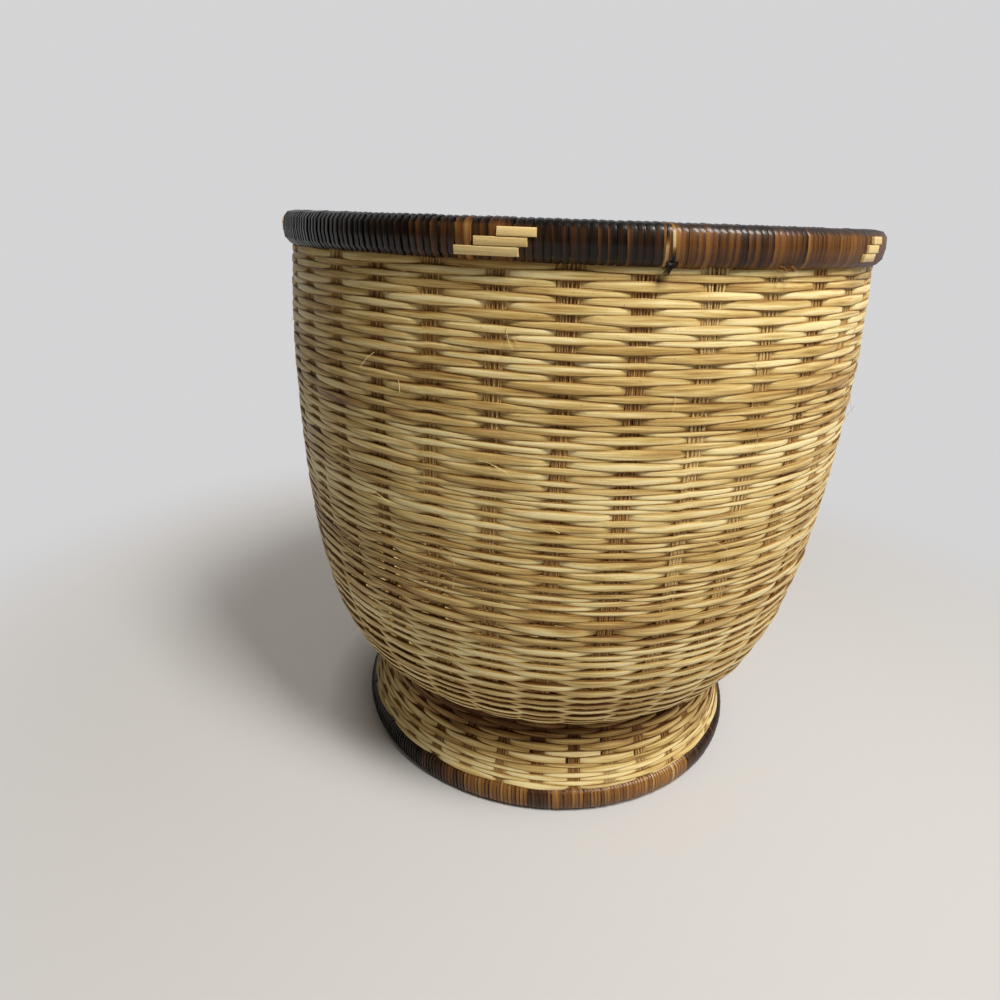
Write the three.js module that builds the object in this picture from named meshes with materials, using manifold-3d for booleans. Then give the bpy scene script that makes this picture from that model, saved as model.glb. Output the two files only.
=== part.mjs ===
// Pedestal wicker basket: a deep woven bowl on a low flared foot, with cane-bound hoops at the rim and foot.
// The upright stakes run unbroken from the foot hoops, in at the neck, and out and up to the rim hoops.
// Lengths are in millimetres and angles in degrees. +Z is up, the origin is the middle of the face that the
// basket stands on, and -Y is the side whose inlays show in front.

import * as THREE from "three";
import { mergeVertices } from "three/addons/utils/BufferGeometryUtils.js";
import Module from "manifold-3d";

const wasm = await Module();
wasm.setup();

// Overall size and the bowl's outline
const height = 298; // from the floor to the top of the rim binding
const bowlTopRadius = 146.8; // outside of the weave, just under the rim
const bellyBulge = 3; // how much further out the weave stands where the bowl is widest
const bellyHeight = 225; // height of that widest line
const bellyReach = 168.7; // how far the upright side of the bowl holds its direction down from the belly
const neckRadius = 104; // outside of the weave where the bowl meets the foot
const neckHeight = 51;
const neckBend = 4; // half the length of the bend in the weave at the neck
const undersideRise = 38.8; // slope of the bowl's underside as it leaves the neck
const undersideReach = 14.3; // how far the underside holds that slope
const wallThickness = 6; // one stake with a weaver in front of it and one behind

// Stakes: each is a flat bundle of fine canes
const stakeCount = 35; // an odd number, so that one long weaver passes over and under by turns
const stakeWidth = 9;
const stakeThickness = 2.2;

// Rim: two hoops that clamp the stakes, bound with cane
const rimBindingHeight = 15.5;
const rimOverhang = 3.2; // how far the binding stands out past the weave
const bindingThickness = 1.6; // at the side of a hoop
const bindingCrown = 2.5; // above and below a hoop, where the cane passes over the ends of the stakes

// Foot: a flared wall of the same weave, with two hoops at the floor
const footWeaveRadius = 115.7; // outside of the weave, just above the foot binding
const footBindingHeight = 15.5;
const footOverhang = 2.8;
const footWear = 0.5; // depth worn flat where the binding stands on the floor

// Inlays: stepped groups of pale strips, set into the rim binding
const inlayCount = 6;
const firstInlayAngle = -10.5; // from the front, positive towards +X
const inlayStripHeight = 3.6;
const inlayStripLengths = [13.7, 19, 23.5]; // from the top strip down
const inlayStep = 3; // how far the right-hand end of each strip steps back from the one above
const inlayDepth = 0.6; // how deep a strip lies in the binding
const inlayProud = 0.3; // how far it stands above the binding

// Base: a round woven floor on two crossed layers of flat spokes, wedged down into the neck
const baseHeight = 57; // height of its underside
const spokesInLayer = 4;
const spokeWidth = 5;
const spokeThickness = 2;
const spokeGap = 1.4; // between neighbours, where the two layers cross
const spokeEndCover = 3; // weave left beyond the end of each spoke
const baseSkin = 1.6; // weave above and below the spokes
const baseHeart = 14; // radius at the middle where only the crossed spokes show

// Clearances between neighbours
const fit = 0.3;
const stakeFit = 0.6; // from a flat stake to the round hoops and binding on each side of it

// Fineness of the round shapes
const ringFacets = 44;
const bowlSteps = 5;
const bindingSteps = 12;
const inlaySteps = 4;
const bindingSquareness = 3; // 2 gives an oval section, more gives a squarer one

// Sizes that follow from the ones above
const radians = Math.PI / 180;
const bellyRadius = bowlTopRadius + bellyBulge;
const rimCentreRadius = bowlTopRadius - wallThickness / 2;
const rimCentreHeight = height - rimBindingHeight / 2;
const rimHalfWidth = wallThickness / 2 + rimOverhang;
const bowlTopHeight = height - rimBindingHeight - fit;
const footHalfWidth = wallThickness / 2 + footOverhang;
const footTopHeight = footBindingHeight + fit;
const baseThickness = 2 * (baseSkin + spokeThickness) + fit;
const straw = 0xcdb079;
const stakeBrown = 0x9a7146;
const spokeTan = 0xb08a55;
const hoopTan = 0xa98352;
const bindingBrown = 0x54321a;
const cream = 0xe2c98c;

// Turns a closed geometry into a solid that can be cut and joined.
function solidOf(geometry) {
  const bare = geometry.clone();
  bare.deleteAttribute("normal");
  bare.deleteAttribute("uv");
  const merged = mergeVertices(bare, 1e-4);
  return new wasm.Manifold(
    new wasm.Mesh({
      numProp: 3,
      vertProperties: merged.attributes.position.array,
      triVerts: new Uint32Array(merged.index.array),
    }),
  );
}

// Turns a solid back into a geometry.
function geometryOf(solid) {
  const mesh = solid.getMesh();
  const geometry = new THREE.BufferGeometry();
  geometry.setAttribute("position", new THREE.BufferAttribute(mesh.vertProperties, 3));
  geometry.setIndex(new THREE.BufferAttribute(mesh.triVerts, 1));
  geometry.computeVertexNormals();
  return geometry;
}

// A ring about the Z axis whose section is a closed outline of points (radius, height). Its corners lie as
// far outside the true circle as the middles of its facets lie inside it.
function ring(outline) {
  const section = THREE.ShapeUtils.area(outline) > 0 ? outline : [...outline].reverse();
  const spread = 2 / (1 + Math.cos(Math.PI / ringFacets));
  const geometry = new THREE.LatheGeometry([...section, section[0].clone()], ringFacets);
  return geometry.rotateX(Math.PI / 2).scale(spread, spread, 1);
}

// A plate that stands in a plane through the Z axis: an outline of points (radius, height), given a width.
function uprightPlate(outline, width) {
  const settings = { depth: width, bevelEnabled: false };
  const geometry = new THREE.ExtrudeGeometry(new THREE.Shape(outline), settings);
  return geometry.translate(0, 0, -width / 2).rotateX(Math.PI / 2);
}

// A plate that lies flat: an outline of points (x, y), given a thickness upwards from a height.
function flatPlate(outline, bottom, thickness) {
  const settings = { depth: thickness, bevelEnabled: false };
  const geometry = new THREE.ExtrudeGeometry(new THREE.Shape(outline), settings);
  return geometry.translate(0, 0, bottom);
}

// The outline of a strip of even width along a bent line, with its corners mitred.
function stripOutline(line, halfWidth) {
  const left = [];
  const right = [];
  line.forEach((point, i) => {
    const before = line[Math.max(i - 1, 0)];
    const after = line[Math.min(i + 1, line.length - 1)];
    const incoming = point.clone().sub(before).normalize();
    const outgoing = after.clone().sub(point).normalize();
    const along = incoming.clone().add(outgoing).normalize();
    const cosine = Math.max(along.dot(incoming), along.dot(outgoing));
    const across = new THREE.Vector2(-along.y, along.x).multiplyScalar(halfWidth / cosine);
    left.push(point.clone().add(across));
    right.push(point.clone().sub(across));
  });
  return [...left, ...right.reverse()];
}

// The same line, made longer by the given amount at both ends.
function lengthened(line, extra) {
  const points = line.map((point) => point.clone());
  const last = points.length - 1;
  const start = points[0].clone().sub(points[1]).setLength(extra);
  const end = points[last].clone().sub(points[last - 1]).setLength(extra);
  points[0].add(start);
  points[last].add(end);
  return points;
}

// Outside face of the whole weave, from the foot up: the foot's flare, the neck, the underside and the side
const rise = new THREE.Vector2(Math.cos(undersideRise * radians), Math.sin(undersideRise * radians));
const neckPoint = new THREE.Vector2(neckRadius, neckHeight);
const footFoot = new THREE.Vector2(footWeaveRadius, footTopHeight);
const neckDirection = footFoot.clone().sub(neckPoint).normalize();
const neckLower = neckPoint.clone().addScaledVector(neckDirection, neckBend);
const neckUpper = neckPoint.clone().addScaledVector(rise, neckBend);
const footCurve = new THREE.LineCurve(footFoot, neckLower);
const neckCurve = new THREE.QuadraticBezierCurve(neckLower, neckPoint, neckUpper);
const bowlCurve = new THREE.CubicBezierCurve(
  neckUpper,
  neckPoint.clone().addScaledVector(rise, undersideReach),
  new THREE.Vector2(bellyRadius, bellyHeight - bellyReach),
  new THREE.Vector2(bellyRadius, bellyHeight),
);
const shoulderCurve = new THREE.QuadraticBezierCurve(
  new THREE.Vector2(bellyRadius, bellyHeight),
  new THREE.Vector2(bellyRadius, (bellyHeight + bowlTopHeight) / 2),
  new THREE.Vector2(bowlTopRadius, bowlTopHeight),
);

// A place on the outside face, with the direction along the wall and the one into its thickness.
function stationOn(curve, t) {
  const along = curve.getTangent(t).normalize();
  return { outside: curve.getPoint(t), along, inward: new THREE.Vector2(-along.y, along.x) };
}

function stationsOn(curve, steps) {
  return Array.from({ length: steps + 1 }, (_, i) => stationOn(curve, i / steps));
}

// The point at a given depth below the outside face.
function atDepth(station, depth) {
  return station.outside.clone().addScaledVector(station.inward, depth);
}

// A place moved along the wall, to leave the seam between the foot and the bowl open.
function shifted(station, distance) {
  return { ...station, outside: station.outside.clone().addScaledVector(station.along, distance) };
}

const neckStation = stationOn(neckCurve, 0.5);
const footStations = stationsOn(footCurve, 1);
const bowlStations = [...stationsOn(bowlCurve, bowlSteps), stationOn(shoulderCurve, 1)];
bowlStations[bowlStations.length - 1].inward.set(-1, 0);
footStations[0].inward.set(-1, 0);

function wallOutline(stations) {
  const outside = stations.map((station) => station.outside);
  const inside = stations.map((station) => atDepth(station, wallThickness));
  return [...outside, ...inside.reverse()];
}

const bowlWall = wallOutline([shifted(neckStation, fit / 2), ...bowlStations]);
const footWall = wallOutline([...footStations, shifted(neckStation, -fit / 2)]);

// Stakes: the middle line of the wall, carried on straight between the hoops at both ends
const footCentreRadius = footWeaveRadius - wallThickness / 2;
const rimHoopRoom = rimBindingHeight / 2 - bindingCrown;
const rimStakeTop = rimCentreHeight + rimHoopRoom - fit;
const footStakeBottom = bindingCrown + fit;
const stakeLine = [
  new THREE.Vector2(footCentreRadius, footStakeBottom),
  ...footStations.map((station) => atDepth(station, wallThickness / 2)),
  atDepth(neckStation, wallThickness / 2),
  ...bowlStations.map((station) => atDepth(station, wallThickness / 2)),
  new THREE.Vector2(rimCentreRadius, rimStakeTop),
];
const stakeOutline = stripOutline(stakeLine, stakeThickness / 2);
const channelOutline = stripOutline(lengthened(stakeLine, fit), stakeThickness / 2 + fit);

function stakeTurn(index) {
  return (index * 2 * Math.PI) / stakeCount - Math.PI / 2;
}

// The space that a stake needs in the weave, with clearance all round.
function stakeChannel(index) {
  return solidOf(uprightPlate(channelOutline, stakeWidth + 2 * fit).rotateZ(stakeTurn(index)));
}

// The weave of the foot and of the bowl, each one wall with a channel for every stake
const channels = Array.from({ length: stakeCount }, (_, i) => stakeChannel(i));

function woven(outline) {
  return channels.reduce((wall, channel) => wall.subtract(channel), solidOf(ring(outline)));
}

// The section of a bound hoop, as points (outward, upward) from its middle: a rounded outside, and inside it
// a slotted room for the two hoops. The slot faces down.
function bindingSection(halfWidth, halfHeight, roomHalfHeight) {
  const slot = stakeThickness / 2 + stakeFit;
  const room = halfWidth - bindingThickness;
  const power = 2 / bindingSquareness;
  const start = -Math.acos(Math.pow(slot / halfWidth, 1 / power));
  const sweep = Math.PI - 2 * start;
  const outside = Array.from({ length: bindingSteps + 1 }, (_, i) => {
    return ovalPoint(halfWidth, halfHeight, start + (sweep * i) / bindingSteps);
  });
  const inside = [
    new THREE.Vector2(-slot, -roomHalfHeight),
    new THREE.Vector2(-room, -roomHalfHeight),
    new THREE.Vector2(-room, roomHalfHeight),
    new THREE.Vector2(room, roomHalfHeight),
    new THREE.Vector2(room, -roomHalfHeight),
    new THREE.Vector2(slot, -roomHalfHeight),
  ];
  return [...outside, ...inside];
}

// A point on a squarish oval, at an angle from its outward side.
function ovalPoint(halfWidth, halfHeight, angle) {
  const power = 2 / bindingSquareness;
  const across = Math.sign(Math.cos(angle)) * Math.pow(Math.abs(Math.cos(angle)), power);
  const up = Math.sign(Math.sin(angle)) * Math.pow(Math.abs(Math.sin(angle)), power);
  return new THREE.Vector2(halfWidth * across, halfHeight * up);
}

// Places a section at a radius and height.
function placed(section, radius, middleHeight) {
  return section.map((point) => new THREE.Vector2(radius + point.x, middleHeight + point.y));
}

// Inlays: the outer skin of the rim binding, cut to the three stepped strips
function rimSkin(depth, proud) {
  const reach = 70 * radians;
  const angles = Array.from({ length: inlaySteps + 1 }, (_, i) => -reach + (2 * reach * i) / inlaySteps);
  const halfHeight = rimBindingHeight / 2;
  const outer = angles.map((angle) => ovalPoint(rimHalfWidth + proud, halfHeight + proud, angle));
  const inner = angles.map((angle) => ovalPoint(rimHalfWidth - depth, halfHeight - depth, angle));
  return solidOf(ring(placed([...outer, ...inner.reverse()], rimCentreRadius, rimCentreHeight)));
}

function rimAngle(length) {
  return length / (rimCentreRadius + rimHalfWidth);
}

// A wedge that reaches out from inside the rim, between two angles from the front and two heights.
function wedge(from, to, bottom, top) {
  const inner = rimCentreRadius;
  const outer = rimCentreRadius + 2 * rimHalfWidth;
  const outline = [
    [inner, from],
    [outer, from],
    [outer, to],
    [inner, to],
  ].map(([radius, angle]) => new THREE.Vector2(radius * Math.sin(angle), -radius * Math.cos(angle)));
  return solidOf(flatPlate(outline, bottom, top - bottom));
}

// The three strips of one inlay as wedges, made larger all round by a margin.
function inlayWedges(index, margin) {
  const middle = firstInlayAngle * radians + (index * 2 * Math.PI) / inlayCount;
  const longest = Math.max(...inlayStripLengths);
  const top = rimCentreHeight + (inlayStripLengths.length * inlayStripHeight) / 2;
  const strips = inlayStripLengths.map((length, row) => {
    const right = middle + rimAngle(longest / 2 - row * inlayStep + inlayStep);
    const left = right - rimAngle(length);
    const stripTop = top - row * inlayStripHeight;
    return wedge(
      left - rimAngle(margin),
      right + rimAngle(margin),
      stripTop - inlayStripHeight - margin,
      stripTop + margin,
    );
  });
  return strips.reduce((all, strip) => all.add(strip));
}

const inlaySkin = rimSkin(inlayDepth, inlayProud);
const recessSkin = rimSkin(inlayDepth + fit, inlayProud + fit);

function inlay(index) {
  return inlaySkin.intersect(inlayWedges(index, 0));
}

function inlayRecess(index) {
  return recessSkin.intersect(inlayWedges(index, fit));
}

// Bindings: the cane sleeves over the hoops
function rimBinding() {
  const section = bindingSection(rimHalfWidth, rimBindingHeight / 2, rimHoopRoom);
  const sleeve = solidOf(ring(placed(section, rimCentreRadius, rimCentreHeight)));
  const recesses = Array.from({ length: inlayCount }, (_, i) => inlayRecess(i));
  return recesses.reduce((bound, recess) => bound.subtract(recess), sleeve);
}

const footHalfHeight = (footBindingHeight + footWear) / 2;
const footCentreHeight = footHalfHeight - footWear;
const footHoopRoom = footCentreHeight - bindingCrown;

function footBinding() {
  const section = bindingSection(footHalfWidth, footHalfHeight, footHoopRoom);
  const turnedOver = section.map((point) => new THREE.Vector2(point.x, -point.y));
  const sleeve = solidOf(ring(placed(turnedOver, footCentreRadius, footCentreHeight)));
  return sleeve.trimByPlane([0, 0, 1], 0);
}

// A flat hoop on one side of the stakes: side is 1 for the outer hoop and -1 for the inner one.
function hoop(side, centreRadius, centreHeight, halfWidth, roomHalfHeight) {
  const near = centreRadius + side * (stakeThickness / 2 + stakeFit);
  const far = centreRadius + side * (halfWidth - bindingThickness - fit);
  const top = centreHeight + roomHalfHeight - fit;
  const bottom = centreHeight - roomHalfHeight + fit;
  return ring([
    new THREE.Vector2(near, bottom),
    new THREE.Vector2(far, bottom),
    new THREE.Vector2(far, top),
    new THREE.Vector2(near, top),
  ]);
}

function rimHoop(side) {
  return hoop(side, rimCentreRadius, rimCentreHeight, rimHalfWidth, rimHoopRoom);
}

function footHoop(side) {
  return hoop(side, footCentreRadius, footCentreHeight, footHalfWidth, footHoopRoom);
}

// Base: its edge follows the slope of the bowl's inside, so the disc seats like a plug
const seatLine = [...footStations, neckStation, ...bowlStations].map((station) => {
  return atDepth(station, wallThickness + fit);
});

// The radius at which a line that climbs outward reaches a height.
function radiusAt(line, heightAbove) {
  const next = line.findIndex((point) => point.y > heightAbove);
  const above = line[next];
  const below = line[next - 1];
  return below.clone().lerp(above, (heightAbove - below.y) / (above.y - below.y)).x;
}

const baseEdgeRadius = radiusAt(seatLine, baseHeight);
const baseTop = baseHeight + baseThickness;
const baseOutline = [
  new THREE.Vector2(baseHeart, baseHeight),
  new THREE.Vector2(baseEdgeRadius, baseHeight),
  ...seatLine.filter((point) => point.y > baseHeight && point.y < baseTop),
  new THREE.Vector2(radiusAt(seatLine, baseTop), baseTop),
  new THREE.Vector2(baseHeart, baseTop),
];

// The line of one flat spoke, seen from above: straight across the middle and fanned out towards both ends.
function spokeLine(index) {
  const order = index - (spokesInLayer - 1) / 2;
  const aside = order * (spokeWidth + spokeGap);
  const fan = (order * Math.PI) / (2 * spokesInLayer);
  const reach = baseEdgeRadius - spokeEndCover;
  const end = new THREE.Vector2(reach * Math.cos(fan), reach * Math.sin(fan));
  return [
    new THREE.Vector2(-end.x, end.y),
    new THREE.Vector2(-baseHeart, aside),
    new THREE.Vector2(baseHeart, aside),
    end,
  ];
}

// layer is 0 for the lower spokes and 1 for the upper ones, which lie square across them.
function spoke(layer, index, margin) {
  const line = margin > 0 ? lengthened(spokeLine(index), margin) : spokeLine(index);
  const bottom = baseHeight + baseSkin + layer * (spokeThickness + fit);
  const outline = stripOutline(line, spokeWidth / 2 + margin);
  return flatPlate(outline, bottom - margin, spokeThickness + 2 * margin).rotateZ((layer * Math.PI) / 2);
}

function baseWeave() {
  let disc = solidOf(ring(baseOutline));
  for (let layer = 0; layer < 2; layer += 1) {
    for (let index = 0; index < spokesInLayer; index += 1) {
      disc = disc.subtract(solidOf(spoke(layer, index, fit)));
    }
  }
  return disc;
}

// Assembly
const basket = new THREE.Group();
basket.name = "pedestal_basket";

function addPiece(parent, name, geometry, color, roughness) {
  const material = new THREE.MeshStandardMaterial({ color, roughness, metalness: 0 });
  const piece = new THREE.Mesh(geometry, material);
  piece.name = name;
  parent.add(piece);
  return piece;
}

const stakes = new THREE.Group();
const stakeGeometry = uprightPlate(stakeOutline, stakeWidth);
for (let i = 0; i < stakeCount; i += 1) {
  const name = "stake_" + String(i + 1).padStart(2, "0");
  addPiece(stakes, name, stakeGeometry, stakeBrown, 0.7).rotation.z = stakeTurn(i);
}
basket.add(stakes);

addPiece(basket, "bowl_weave", geometryOf(woven(bowlWall)), straw, 0.6);
addPiece(basket, "foot_weave", geometryOf(woven(footWall)), straw, 0.6);

const rim = new THREE.Group();
addPiece(rim, "rim_inner_hoop", rimHoop(-1), hoopTan, 0.7);
addPiece(rim, "rim_outer_hoop", rimHoop(1), hoopTan, 0.7);
addPiece(rim, "rim_binding", geometryOf(rimBinding()), bindingBrown, 0.4);
for (let i = 0; i < inlayCount; i += 1) {
  addPiece(rim, "rim_inlay_" + (i + 1), geometryOf(inlay(i)), cream, 0.5);
}
basket.add(rim);

const foot = new THREE.Group();
addPiece(foot, "foot_inner_hoop", footHoop(-1), hoopTan, 0.7);
addPiece(foot, "foot_outer_hoop", footHoop(1), hoopTan, 0.7);
addPiece(foot, "foot_binding", geometryOf(footBinding()), bindingBrown, 0.4);
basket.add(foot);

const base = new THREE.Group();
addPiece(base, "base_weave", geometryOf(baseWeave()), straw, 0.65);
["lower", "upper"].forEach((layerName, layer) => {
  for (let index = 0; index < spokesInLayer; index += 1) {
    addPiece(base, "base_spoke_" + layerName + "_" + (index + 1), spoke(layer, index, 0), spokeTan, 0.7);
  }
});
basket.add(base);

export default basket;
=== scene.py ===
import math

import bpy
import numpy as np
from mathutils import Matrix, Vector


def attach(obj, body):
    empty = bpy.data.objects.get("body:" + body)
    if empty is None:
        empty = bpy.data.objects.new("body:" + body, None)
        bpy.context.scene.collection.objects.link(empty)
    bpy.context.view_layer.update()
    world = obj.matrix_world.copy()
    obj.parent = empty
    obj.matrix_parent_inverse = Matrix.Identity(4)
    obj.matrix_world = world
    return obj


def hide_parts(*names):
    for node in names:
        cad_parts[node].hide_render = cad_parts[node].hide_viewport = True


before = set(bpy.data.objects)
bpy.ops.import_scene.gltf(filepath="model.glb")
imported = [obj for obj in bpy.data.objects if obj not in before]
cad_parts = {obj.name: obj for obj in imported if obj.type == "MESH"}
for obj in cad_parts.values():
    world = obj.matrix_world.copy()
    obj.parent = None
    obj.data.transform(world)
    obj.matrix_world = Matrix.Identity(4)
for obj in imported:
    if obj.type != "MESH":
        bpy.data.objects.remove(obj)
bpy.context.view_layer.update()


# Camera. It looks down into the front of the basket from a little above the rim, from close by, and leans a
# couple of degrees, as the hand that held it did.
HEADING, DOWN, LEAN = 0.0883, 0.391, 0.0348  # radians to the left, down from level, and over to one side

bpy.ops.object.select_all(action="DESELECT")
bpy.ops.object.camera_add(location=(0, -0.3965, 0.2964))
camera = bpy.context.object
camera.name = "camera"
heading = Matrix.Rotation(HEADING, 3, "Z")
pitch = Matrix.Rotation(math.pi / 2 - DOWN, 3, "X")
lean = Matrix.Rotation(LEAN, 3, "Z")
camera.rotation_euler = (heading @ pitch @ lean).to_euler()
camera.data.sensor_width = 36
camera.data.lens = 24.48
bpy.context.scene.camera = camera


# Stakes. Thirty-five bundles of eight fine split canes run from the foot hoops through the neck and up to the
# rim hoops. Each bundle is tight in the weave and fans out just under the rim.
STAKES = 35
CANES_IN_STAKE = 8
STAKE_DEPTH = 0.0010  # through the wall
BUNDLE_WIDTH = 0.0070
FAN_WIDTH = 0.0112  # of a bundle just under the rim
FAN_HEIGHT = 0.036  # in which it widens to that
STAKE_OUT = 0.0002  # how far the canes stand out of the middle of the weave
STAKE_STAGGER = 0.00015  # and how much further every second cane does
STAKE_WANDER = 0.00014  # how far each cane wanders to either side
STAKE_ENDS = (0.0030, 0.2950)  # heights of a stake's hidden ends
FRONT_TONES = {  # shades of the stakes in front, counted to the right from the one that faces the viewer
    0: 0.52, 1: 0.50, 2: 0.93, 3: 0.86, 4: 0.6, 5: 0.7, -1: 0.70, -2: 0.72, -3: 0.45, -4: 0.6, -5: 0.7,
}
FRONT_FANS = {-1: 0.0105, 0: 0.0115, 1: 0.0128, 2: 0.0132, 3: 0.0120}  # widths of the same under the rim
# Painted shadow: under the overhang of the bowl, the canes near the neck are darkened in their colour.
NECK_PAINTED_SHADOW = (  # how much darker the canes are, so far above the neck
    (-0.032, 0.0), (-0.022, -0.20), (-0.015, -0.45), (-0.008, -0.72), (-0.002, -0.95), (0.0015, -0.75),
    (0.004, 0.0),
)

# The outside of the wall, as radius and height, from the foot's binding up to the rim's.
FOOT_EDGE = (0.1157, 0.0143)
NECK_CORNER = (0.1015, 0.0490)
NECK_BEND = 0.004  # how far the bend at the neck reaches to either side of its corner
UNDERSIDE_SLOPE = 38.8  # degrees from level
UNDERSIDE_REACH = 0.0143  # how far the bowl's underside is drawn out along that slope
BELLY = (0.1498, 0.225)
BELLY_HANDLES = (0.0563, 0.2536)  # heights that the upright side is drawn out to, below and above the belly
RIM_EDGE = (0.1468, 0.2822)
FOOT_POINTS, NECK_POINTS = 60, 30  # on the foot's part of that line and on the bend
WEAVE_DEPTH = 0.0019  # from the outside of the wall to the middle of its weave


def bend(points, count):
    """Points along a Bezier line of three or four control points."""
    points = np.array(points, float)
    t = np.linspace(0, 1, count)[:, None]
    while len(points) > 1:
        points = [a + (b - a) * t for a, b in zip(points[:-1], points[1:])]
    return points[0]


slope = math.radians(UNDERSIDE_SLOPE)
rise = np.array([math.cos(slope), math.sin(slope)])
neck = np.array(NECK_CORNER)
fall = np.array(FOOT_EDGE) - neck
fall /= np.linalg.norm(fall)
below, above = [(BELLY[0], handle) for handle in BELLY_HANDLES]
outside = np.vstack([
    bend([FOOT_EDGE, neck + NECK_BEND * fall], FOOT_POINTS),
    bend([neck + NECK_BEND * fall, neck, neck + NECK_BEND * rise], NECK_POINTS)[1:],
    bend([neck + NECK_BEND * rise, neck + UNDERSIDE_REACH * rise, below, BELLY], 400)[1:],
    bend([BELLY, above, RIM_EDGE], 100)[1:],
])
tangent = np.gradient(outside, axis=0)
tangent /= np.linalg.norm(tangent, axis=1)[:, None]
inward = np.stack([-tangent[:, 1], tangent[:, 0]], axis=1)
inward[0] = inward[-1] = (-1, 0)
middle = outside + inward * WEAVE_DEPTH
middle = np.vstack([(middle[0][0], STAKE_ENDS[0]), middle, (middle[-1][0], STAKE_ENDS[1])])
wall_length = np.concatenate([[0], np.cumsum(np.hypot(*np.diff(middle, axis=0).T))])
wall_slope = np.unwrap(np.arctan2(np.gradient(middle[:, 0]), np.gradient(middle[:, 1])))

# Lengths up the wall to the middle of the neck's bend and to the underside of the rim.
NECK = float(wall_length[FOOT_POINTS] + wall_length[FOOT_POINTS + NECK_POINTS]) / 2
TOP = float(wall_length[-2])


def wall_point(length, turn, out):
    """The point at a length up the middle of the wall, at a turn from the front, and so far out of it."""
    slope = np.interp(length, wall_length, wall_slope)
    radius = np.interp(length, wall_length, middle[:, 0]) + out * np.cos(slope)
    height = np.interp(length, wall_length, middle[:, 1]) - out * np.sin(slope)
    return np.stack([radius * np.sin(turn), -radius * np.cos(turn), height], axis=-1), slope


def cane_section(name, depth, corners, roundness=1.0):
    """The outline of a cane one unit wide: x is its depth through the wall and y its width along it. A cane
    that is less round has flatter faces."""
    bpy.ops.object.select_all(action="DESELECT")
    bpy.ops.mesh.primitive_circle_add(vertices=corners, radius=0.5, rotation=(0, 0, math.pi / corners))
    section = bpy.context.object
    section.name = name
    bpy.ops.object.transform_apply(location=False, rotation=True, scale=False)
    for corner in section.data.vertices:
        x, y = (math.copysign(abs(2 * place) ** roundness / 2, place) for place in corner.co[:2])
        corner.co = (x * depth, y, 0)
    bpy.ops.object.convert(target="CURVE")
    return section


LONG_EDGE = 0.4  # corners of a section that are further out than this make the long edges of its cane
GRAIN_STEP = 0.37  # how much further along the grain each cane of a piece starts
AROUND_CANE = 2.4  # the way round a cane, in widths


def sweep(name, section, lines, closed=False, seam_shade=0.0):
    """A mesh of canes, each one the section drawn along a line of (points, sizes, leans, tones). The last
    argument darkens the two long edges of each cane, a painted shade in the seams between canes."""
    curve = bpy.data.curves.new(name, "CURVE")
    curve.dimensions = "3D"
    curve.twist_mode = "Z_UP"
    curve.bevel_mode = "OBJECT"
    curve.bevel_object = section
    for points, sizes, leans, tones in lines:
        spline = curve.splines.new("POLY")
        spline.points.add(len(points) - 1)
        spline.points.foreach_set("co", np.c_[points, np.ones(len(points))].astype(np.float32).ravel())
        spline.points.foreach_set("radius", np.broadcast_to(sizes, len(points)).astype(np.float32))
        spline.points.foreach_set("tilt", np.broadcast_to(leans, len(points)).astype(np.float32))
        spline.use_cyclic_u = closed
    piece = bpy.data.objects.new(name, curve)
    bpy.context.collection.objects.link(piece)
    bpy.ops.object.select_all(action="DESELECT")
    bpy.context.view_layer.objects.active = piece
    piece.select_set(True)
    bpy.ops.object.convert(target="MESH")
    mesh = piece.data

    # Each corner of the mesh keeps its tone and, as a UV, its place along and around its cane in metres.
    corners = len(mesh.vertices) // sum(len(line[0]) for line in lines)
    edges = np.array([abs(corner.co[1]) > LONG_EDGE for corner in section.data.splines[0].points])
    along, tone, lap = [], [], []
    for number, (points, sizes, leans, tones) in enumerate(lines):
        steps = np.linalg.norm(np.diff(points, axis=0, append=points[:1]), axis=1)
        distance = np.concatenate([[0], np.cumsum(steps[:-1])]) + GRAIN_STEP * number
        along.append(np.repeat(distance, corners))
        unshaded = np.repeat(np.broadcast_to(tones, len(points)), corners)
        # The long edges get a painted shade, for the seams between canes.
        tone.append(unshaded - seam_shade * np.tile(edges, len(points)))
        lap.append(np.full(len(points) * corners, steps.sum()))
    along, tone, lap = np.concatenate(along), np.concatenate(tone), np.concatenate(lap)
    layer = mesh.attributes.new("tone", "FLOAT", "POINT")
    layer.data.foreach_set("value", tone.astype(np.float32))
    vertex = np.empty(len(mesh.loops), np.int32)
    mesh.loops.foreach_get("vertex_index", vertex)
    face = vertex.reshape(-1, 4)
    length = along[face]
    if closed:
        length = length + lap[face] * (length.max(axis=1, keepdims=True) - length > lap[face] / 2)
    around = (face % corners).astype(float)
    around[(around == 0) & (around.max(axis=1, keepdims=True) == corners - 1)] = corners
    around *= AROUND_CANE * float(np.mean(lines[0][1])) / corners
    layer = mesh.uv_layers.new(name="cane")
    layer.data.foreach_set("uv", np.stack([length, around], axis=-1).astype(np.float32).ravel())

    bpy.ops.object.mode_set(mode="EDIT")
    bpy.ops.mesh.select_mode(type="EDGE")
    if not closed:
        bpy.ops.mesh.select_all(action="DESELECT")
        bpy.ops.mesh.select_non_manifold(extend=False, use_wire=False, use_multi_face=False,
                                         use_non_contiguous=False, use_verts=False)
        bpy.ops.mesh.fill_holes(sides=0)
    bpy.ops.mesh.select_all(action="SELECT")
    bpy.ops.mesh.normals_make_consistent(inside=False)
    bpy.ops.object.mode_set(mode="OBJECT")
    bpy.ops.object.shade_smooth_by_angle(angle=math.radians(62))
    return piece


def drift(places, seed, *lengths):
    """A slow, smooth wander between about -1 and 1 along the given places."""
    chance = np.random.default_rng(seed)
    total = sum(np.sin(2 * math.pi * places / length + chance.uniform(0, 2 * math.pi)) for length in lengths)
    return total / math.sqrt(len(lengths))


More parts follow.
